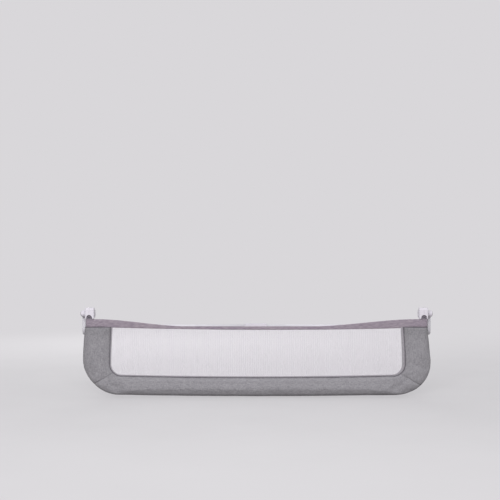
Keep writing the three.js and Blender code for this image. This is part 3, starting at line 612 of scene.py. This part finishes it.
def cover_pad(name, start, end, look, nodes):
    """A length of the padded cover. Returns its rings, from the hem on where it has a hem end."""
    half = COVER["half_points"]
    around = 2 * half - 2
    rings = []
    stations = spread(start, end, COVER["ring_step"])
    # Two more rings close to each end that is sewn into the hem
    near, further = COVER["end_rings"]
    if start == 0:
        stations[1:1] = [near * stations[1], further * stations[1]]
    if end == LAST:
        last = LAST - stations[-2]
        stations[-1:-1] = [LAST - further * last, LAST - near * last]
    slope, slope_reach = DRAWN["slope"]
    for s in stations:
        squeeze = 1.0
        for mark in (start, end):
            away = np.linalg.norm(np.array(station(s)["tube"]) - np.array(station(mark)["tube"]))
            drawn, reach = DRAWN["hem" if mark in (0, LAST) else "mitre"]
            squeeze -= drawn * math.exp(-away / reach) + slope * math.exp(-away / slope_reach)
        rings.append(pad_section(s, squeeze))
    obj = loft(name, rings)
    count, held = len(rings), COVER["held_rings"]
    seam_line = [i * around + k for i in range(count) for k in (half - 2, half - 1, half)]
    nose_line = [i * around for i in range(count)]
    end_rings = list(range(held * around)) + list(range((count - held) * around, count * around))
    puff(obj, around, sorted(set(seam_line + nose_line + end_rings)))
    unevenness(obj, around)
    dress(obj, "padded_cloth", "rail", *nodes, look=look)
    rings = [[v.co.copy() for v in obj.data.vertices[i * around : (i + 1) * around]] for i in range(count)]
    return rings if start == 0 else rings[::-1]


def hem_shade_band(name, rings):
    """A dark band round the top of a post cover, under the hem: painted shade where the hem shades the
    cover.
    """
    first = [p + Vector((0, 0, TOP_SHADE_BAND["rise"])) for p in rings[0]]
    second = [a.lerp(b, TOP_SHADE_BAND["share"]) for a, b in zip(rings[0], rings[1])]
    half = TOP_SHADE_BAND["half"]

    def swollen(ring, by):
        middle = sum(ring, Vector()) / len(ring)
        width, depth = (max(abs(p[k] - middle[k]) for p in ring) for k in (0, 1))
        grow = Vector((1 + by / width, 1 + by / depth, 1))
        return [middle + (p - middle) * grow for p in ring]

    hoop = [swollen(first, half), swollen(second, half), swollen(second, -half), swollen(first, -half)]
    dress(loft(name, hoop, closed=True), "piping_cloth", "rail", look="painted_shade_tape")


POST_END = MITRE - MITRE_GAP
for side, start, end in (("right", 0.0, POST_END), ("left", LAST - POST_END, float(LAST))):
    nodes = [f"{side}_post_pad", f"{side}_post_foam"]
    pad_rings = cover_pad(f"{side}_post_cover", start, end, "post_cloth", nodes)
    hem_shade_band(f"{side}_hem_shade_band", pad_rings)
bar_nodes = ["lower_rail_pad", "lower_rail_foam"]
cover_pad("lower_bar_cover", MITRE + MITRE_GAP, LAST - MITRE - MITRE_GAP, "padded_cloth", bar_nodes)


# Corded edge: a fabric-covered cord, and a dark strip of painted shade in the groove between it and the pad


def corded_edge():
    cord, groove_shade = [], []
    radius, inner, pinch = PIPING["radius"], -PIPING["offset"], PIPING["pinch"]
    under, thin = GROOVE_SHADE["under"], GROOVE_SHADE["half"]
    for s in spread(-0.03, LAST + 0.03, 0.004, "seam"):
        here = station(s)
        (x, drop), angle = here["seam"], here["angle"]
        out = (math.cos(angle), math.sin(angle))
        wide = right_only(BINDING, s)
        flattened = pinch + (1 - pinch) * smoothstep((drop - PIPING["tuck"]) / PIPING["taper"])
        middle, half = wide / 2 + inner, radius + wide / 2
        oval = [(middle + a * half, b * radius * flattened) for a, b in circle(1, 20)]
        flat = [(a + wide, b) for a, b in ((inner, thin), (under, thin), (under, -thin), (inner, -thin))]
        for rings, section in ((cord, oval), (groove_shade, flat)):
            rings.append([rail_point(x + a * out[0], b, drop + a * out[1]) for a, b in section])
    dress(loft("window_cord", cord), "piping_cloth", "rail", "window_piping")
    dress(loft("window_groove_shade", groove_shade), "piping_cloth", "rail", look="painted_shade_tape")


corded_edge()


# Net: woven ribbons, warp over and under weft


def hem_top(x):
    side = HEM_SIDE["right" if x > 0 else "left"]
    return HEM["top"] + HEM["sag"] * smoothstep((side["start"] - abs(x)) / side["ramp"])


def hem_bottom(x):
    side = HEM_SIDE["right" if x > 0 else "left"]
    if abs(x) > HEM["inner"]:
        into = smoothstep(1 - (abs(x) - HEM["inner"]) / HEM["turn"])
        return HEM["seam"] + (side["corner"] - HEM["seam"]) * into
    return HEM["middle"] - (HEM["middle"] - side["corner"]) * (abs(x) / HEM["inner"]) ** side["power"]


def window_floor(x):
    """Drop of the window's lower edge at x."""
    clear = SEAM["corner"] - PIPING["offset"]
    reach = SEAM["x"] - PIPING["offset"]
    into = max(0.0, abs(x) - (reach - clear))
    bow = SEAM["bow"] * (1 - min(1.0, abs(x) / (SEAM["x"] - SEAM["corner"])) ** 2)
    return SEAM["drop"] + bow - PIPING["offset"] - clear + math.sqrt(max(0.0, clear**2 - into**2))


def window_side(drop):
    """Half width of the window at a drop."""
    share = min(1.0, max(0.0, (drop - PAD["top"]) / (SEAM["drop"] - SEAM["corner"] - PAD["top"])))
    side = SEAM["top_x"] + (SEAM["x"] - SEAM["top_x"]) * math.sin(share * math.pi / 2) - PIPING["offset"]
    clear = SEAM["corner"] - PIPING["offset"]
    into = max(0.0, drop - (SEAM["drop"] - SEAM["corner"]))
    return side - clear + math.sqrt(max(0.0, clear**2 - min(into, clear) ** 2))


def row_reach(drop):
    """Half length of a row of the net: to the side seam, or to where the bowed lower seam cuts it off."""
    low = SEAM["drop"] - PIPING["offset"]
    if drop <= low:
        return window_side(drop)
    share = min(1.0, (drop - low) / SEAM["bow"])
    return (SEAM["x"] - SEAM["corner"]) * math.sqrt(1 - share)


def net_depth(x, drop):
    """Slack in the net: soft pulls running in from the lower corners, held flat along its edges."""
    near_side = 1 - min(1.0, (SEAM["x"] - abs(x)) / NET_PULL["reach"])
    wave = math.sin((abs(x) * NET_PULL["lean"] - drop) * NET_PULL["waves"])
    pull = wave * near_side * max(0.0, near_side) * NET_PULL["depth"]
    from_edge = min(window_side(drop) - abs(x), window_floor(x) - drop, drop - hem_bottom(x))
    across, down = NET_SLACK["waves"]
    hollow = NET_SLACK["depth"] * noise.noise(Vector((x * across, drop * down, 0.3)))
    return smoothstep(from_edge / NET_SLACK["edge"]) * (pull + hollow)


def net_panel():
    column, row_pitch = NET["column"], NET["row"]
    points, faces = [], []

    def ribbon(line, width_along_x, width):
        first = len(points)
        for x, drop, lift in line:
            y = net_depth(x, drop) + lift
            for side in (-0.5, 0.5):
                dx, dz = (side * width, 0) if width_along_x else (0, side * width)
                points.append(rail_point(x + dx, y, drop + dz))
        for k in range(len(line) - 1):
            a = first + 2 * k
            faces.append((a, a + 1, a + 3, a + 2))

    columns = int(SEAM["x"] / column)
    for i in range(-columns, columns + 1):
        x = i * column
        if abs(x) > window_side(NET_TUCK["level"]):
            continue
        top, floor = hem_bottom(x) - NET_TUCK["warp"], window_floor(x)
        if floor < top + row_pitch:
            continue
        rows = max(2, round((floor - top) / row_pitch))
        drops = [top + (floor - top) * k / rows for k in range(rows + 1)]
        lifts = [NET["lift"] * (1 if (k + i) % 2 else -1) for k in range(rows + 1)]
        ribbon([(x, d, lift) for d, lift in zip(drops, lifts)], True, NET["light" if i % 2 else "heavy"])
    row = 0
    drop = HEM["seam"] + row_pitch
    while drop < SEAM["drop"] + SEAM["bow"] - PIPING["offset"] - NET_TUCK["below"]:
        side = row_reach(drop)
        count = round(2 * side / column)
        line = []
        for k in range(count + 1):
            x = -side + 2 * side * k / count
            if drop > hem_bottom(x) - NET_TUCK["weft"]:
                line.append((x, drop, NET["lift"] * (-1 if (k + row) % 2 else 1)))
        ribbon(line, False, NET["weft"])
        drop += row_pitch
        row += 1
    net = link("window_net", points, faces)
    dress(net, "net_cloth", "rail", "mesh_panel")


# Hem: a folded band that sags between two collars round the posts


def hem_section(x, half, count=7):
    """The band's outline at x: a thin fold with a thicker lower seam, or a plain sleeve at the posts."""
    top, bottom, edge = hem_top(x), hem_bottom(x), HEM_FOLD["edge"]
    is_band = half < HEM_FOLD["thin"]
    wave = HEM_FOLD["wave"] * noise.noise(Vector((x * 6, 0.2, 5.0))) if is_band else 0.0
    ends, seam = (HEM_FOLD["round"], HEM_FOLD["seam"]) if is_band else (0.06, 1.0)
    front = []
    for k in range(count):
        t = k / (count - 1)
        bulge = half * (1 - ends * (2 * t - 1) ** 4)
        thicker = seam if t > HEM_FOLD["seam_from"] else 1.0
        front.append((bulge * thicker, top + edge + (bottom - top - 2 * edge) * t))
    ring = front + [(0, bottom)] + [(-y, d) for y, d in reversed(front)] + [(0, top)]
    return [rail_point(x, -(y + wave), d) for y, d in ring]


def hem_band():
    plain = np.linspace(0, 0.62, 80)
    collar = np.linspace(0.626, COLLAR["x"][-1], 60)
    side = list(np.concatenate([plain, collar]))
    places = [-x for x in reversed(side[1:])] + side
    halves = [float(np.interp(abs(x), COLLAR["x"], COLLAR["half"])) for x in places]
    band = loft("hem_band", [hem_section(x, half) for x, half in zip(places, halves)])
    dress(band, "hem_cloth", "rail", "hem_strip")


hem_band()
net_panel()


# Tubes, turned smooth


def mirrored(rings, sign):
    return [[Vector((sign * p.x, p.y, p.z)) for p in ring] for ring in rings]


def post_steel(side, sign):
    """The round tube of one post, from inside the bracket, round the corner and along the bottom bar."""
    rings = [tube_ring((POST_X, -TUBE["rise"]), 0)]
    rings += [tube_ring(station(s)["tube"], station(s)["angle"]) for s in spread(1.0, 2.0, 0.008)]
    rings.append(tube_ring((TUBE["leg"], TUBE["drop"]), math.pi / 2))
    obj = loft(f"{side}_post_steel", mirrored(rings, sign))
    dress(obj, "painted_steel", "rail", f"{side}_post_tube")


def base_steel(side, sign):
    """The flat-oval tubes of one side: down from the hinge, round its bend and back, and along the rear."""
    outline = flat_oval(BASE_TUBE["width"], BASE_TUBE["height"])
    bend, z = BASE_TUBE["bend"], BASE_TUBE["z"]
    centre_y, centre_z = ARM_Y + bend, z + bend
    rings = [[Vector((ARM_X + a, ARM_Y - b, PIVOT_Z - BASE_TUBE["upright_gap"])) for a, b in outline]]
    for i in range(15):
        t = math.pi / 2 * i / 14
        turn = [(a, (bend + b) * math.cos(t), (bend + b) * math.sin(t)) for a, b in outline]
        rings.append([Vector((ARM_X + a, centre_y - back, centre_z - down)) for a, back, down in turn])
    rings.append([Vector((ARM_X + a, BASE_ENDS["arm_y"], z - b)) for a, b in outline])
    arm = loft(f"{side}_arm_steel", mirrored(rings, sign))
    dress(arm, "white_steel", "base", f"{side}_base_arm")
    rings = [[Vector((x, a, z + b)) for a, b in outline] for x in BASE_ENDS["rear_x"]]
    rear = loft(f"{side}_rear_steel", mirrored(rings, sign))
    dress(rear, "white_steel", "base", f"{side}_rear_tube")


for side, sign in (("right", 1), ("left", -1)):
    post_steel(side, sign)
    base_steel(side, sign)


# Moulded and metal pieces: the solids with eased edges


def eased(node, slot, body, width, angle=38):
    """A copy of the node's solid with its sharp edges rounded, in the node's place."""
    source = frame["nodes"][node]
    obj = bpy.data.objects.new(f"{node}_body", source.data.copy())
    scene.collection.objects.link(obj)
    mesh = bmesh.new()
    mesh.from_mesh(obj.data)
    bmesh.ops.remove_doubles(mesh, verts=mesh.verts, dist=1e-6)
    bmesh.ops.dissolve_limit(mesh, angle_limit=math.radians(2), verts=mesh.verts, edges=mesh.edges)
    mesh.to_mesh(obj.data)
    mesh.free()
    obj.data.polygons.foreach_set("use_smooth", [True] * len(obj.data.polygons))
    bevel = obj.modifiers.new("ease", "BEVEL")
    bevel.width = width
    bevel.segments = 2
    bevel.limit_method = "ANGLE"
    bevel.angle_limit = math.radians(angle)
    bevel.use_clamp_overlap = True
    obj.modifiers.new("flat faces stay flat", "WEIGHTED_NORMAL")
    bpy.context.view_layer.update()
    shaped = bpy.data.meshes.new_from_object(obj.evaluated_get(bpy.context.evaluated_depsgraph_get()))
    obj.modifiers.clear()
    obj.data = shaped
    dress(obj, slot, body, node)


def snap_knob(side, sign):
    """The domed end of the spring button that shows in the bracket's arch."""
    flange, stem, dome = SNAP["flange"], SNAP["stem"], SNAP["dome"]
    # Radius, and distance out from the tube's surface
    profile = [(flange, -0.0036), (flange, -0.0028), (stem, -0.0027), (stem, 0.0003), (dome, 0.0004)]
    turns = np.linspace(0.1, 1.45, 7)
    profile += [(dome * math.cos(t), 0.0006 + SNAP["rise"] * math.sin(t)) for t in turns]
    profile = [(radius, TUBE["radius"] + out) for radius, out in profile]
    middle = (sign * POST_X, PIVOT_Z - SNAP["drop"])
    rings = []
    for radius, out in profile:
        rings.append([Vector((middle[0] + a, RAIL_Y - out, middle[1] + b)) for a, b in circle(radius, 28)])
    dress(loft(f"{side}_snap_knob", rings), "zinc_steel", "rail", f"{side}_snap_button", look="dark_pin")


for side, sign in (("left", -1), ("right", 1)):
    snap_knob(side, sign)

for side in ("left", "right"):
    for part in ("bracket_inner_shell", "bracket_outer_shell"):
        eased(f"{side}_{part}", "white_plastic", "rail", EASED["shell"])
    eased(f"{side}_hinge_base", "white_plastic", "base", EASED["shell"])
    eased(f"{side}_corner_joiner", "white_plastic", "base", EASED["shell"])
    eased(f"{side}_release_button", "grey_plastic", f"{side}_button", EASED["button"])
    eased(f"{side}_grip_sleeve", "rubber", "base", EASED["sleeve"])
eased("centre_joiner", "white_plastic", "base", EASED["shell"])

# The rest of the solids keep their shape and get their finish
slots = {p["node"]: p["material_slot"] for p in frame["record"]["subparts"]}
for name, obj in frame["nodes"].items():
    if not obj.hide_render:
        obj.data.materials.clear()
        obj.data.materials.append(LOOK[slots[name]])
        obj.data.polygons.foreach_set("use_smooth", [True] * len(obj.data.polygons))


# Studio: a pale floor that curves up into a pale backdrop, far enough back for a camera behind the guard,
# a broad key from the front and two soft fills


def pale_sweep():
    """Floor that keeps shadows, turning into an evenly pale backdrop."""
    n = Nodes("pale sweep", Roughness=0.9, Specular_IOR_Level=0.1)
    tone = n.ramp(n.noise(3, 2.0), [(0.3, srgb(211, 209, 211)), (0.7, srgb(215, 213, 215))])
    ray = n.add("ShaderNodeLightPath").outputs
    mirrored_ray = n.math("MAXIMUM", ray["Is Glossy Ray"], ray["Is Transmission Ray"])
    seen = n.math("MAXIMUM", ray["Is Camera Ray"], mirrored_ray)
    n.paint(n.mix(seen, srgb(120, 116, 116), tone))
    away = n.add("ShaderNodeVectorMath", operation="LENGTH")
    n.wire(n.place, away.inputs[0])
    climb = n.add("ShaderNodeMapRange", interpolation_type="SMOOTHSTEP")
    n.wire(away.outputs["Value"], climb.inputs["Value"])
    climb.inputs["From Min"].default_value = GLOW["from"]
    climb.inputs["From Max"].default_value = GLOW["to"]
    climb.inputs["To Min"].default_value = GLOW["least"]
    glow = n.add("ShaderNodeEmission")
    glow.inputs["Color"].default_value = srgb(*BACKDROP_SEEN)
    blend = n.add("ShaderNodeMixShader")
    n.wire(n.math("MULTIPLY", climb.outputs[0], seen), blend.inputs[0])
    n.wire(n.shader.outputs[0], blend.inputs[1])
    n.wire(glow.outputs[0], blend.inputs[2])
    n.wire(blend.outputs[0], n.tree.nodes["Material Output"].inputs["Surface"])
    return n.material


def studio():
    start, bend, half = BACKDROP["start"], BACKDROP["bend"], BACKDROP["half"]
    turns = np.linspace(0.1, math.pi / 2, 14)
    profile = [(BACKDROP["front"], FLOOR_Z), (start, FLOOR_Z)]
    profile += [(start + bend * math.sin(t), FLOOR_Z + bend * (1 - math.cos(t))) for t in turns]
    profile.append((start + bend, BACKDROP["top"]))
    points = [Vector((x, y, z)) for y, z in profile for x in (-half, half)]
    faces = [(2 * i, 2 * i + 1, 2 * i + 3, 2 * i + 2) for i in range(len(profile) - 1)]
    backdrop = link("backdrop", points, faces)
    backdrop.data.materials.append(pale_sweep())
    world = bpy.data.worlds.new("studio")
    scene.world = world
    world.use_nodes = True
    tree = world.node_tree
    lit = tree.nodes["Background"]
    lit.inputs["Color"].default_value = (0.97, 0.98, 1.0, 1)
    lit.inputs["Strength"].default_value = WORLD_LEVEL
    seen = tree.nodes.new("ShaderNodeBackground")
    seen.inputs["Color"].default_value = srgb(*BACKDROP_SEEN)
    blend = tree.nodes.new("ShaderNodeMixShader")
    tree.links.new(tree.nodes.new("ShaderNodeLightPath").outputs["Is Camera Ray"], blend.inputs[0])
    tree.links.new(lit.outputs[0], blend.inputs[1])
    tree.links.new(seen.outputs[0], blend.inputs[2])
    tree.links.new(blend.outputs[0], tree.nodes["World Output"].inputs["Surface"])
    for name, place, aim, size, power in LAMPS:
        lamp = bpy.data.lights.new(name, "AREA")
        lamp.shape = "RECTANGLE"
        lamp.size, lamp.size_y = size
        lamp.energy = power
        holder = bpy.data.objects.new(name, lamp)
        holder.location = place
        holder.rotation_euler = (Vector(aim) - Vector(place)).to_track_quat("-Z", "Y").to_euler()
        holder.visible_camera = False
        holder.visible_glossy = name != "back_fill"
        scene.collection.objects.link(holder)


def photo_camera():
    lens = bpy.data.cameras.new("camera")
    lens.lens = CAMERA["lens"]
    lens.sensor_width = CAMERA["sensor"]
    lens.shift_y = CAMERA["shift_y"]
    lens.clip_end = 60
    camera = bpy.data.objects.new("camera", lens)
    camera.location = (CAMERA["x"], RAIL_Y - CAMERA["away"], CAMERA["z"])
    camera.rotation_euler = (math.pi / 2, 0, 0)
    scene.collection.objects.link(camera)
    scene.camera = camera


studio()
photo_camera()
scene.view_settings.view_transform = "Standard"
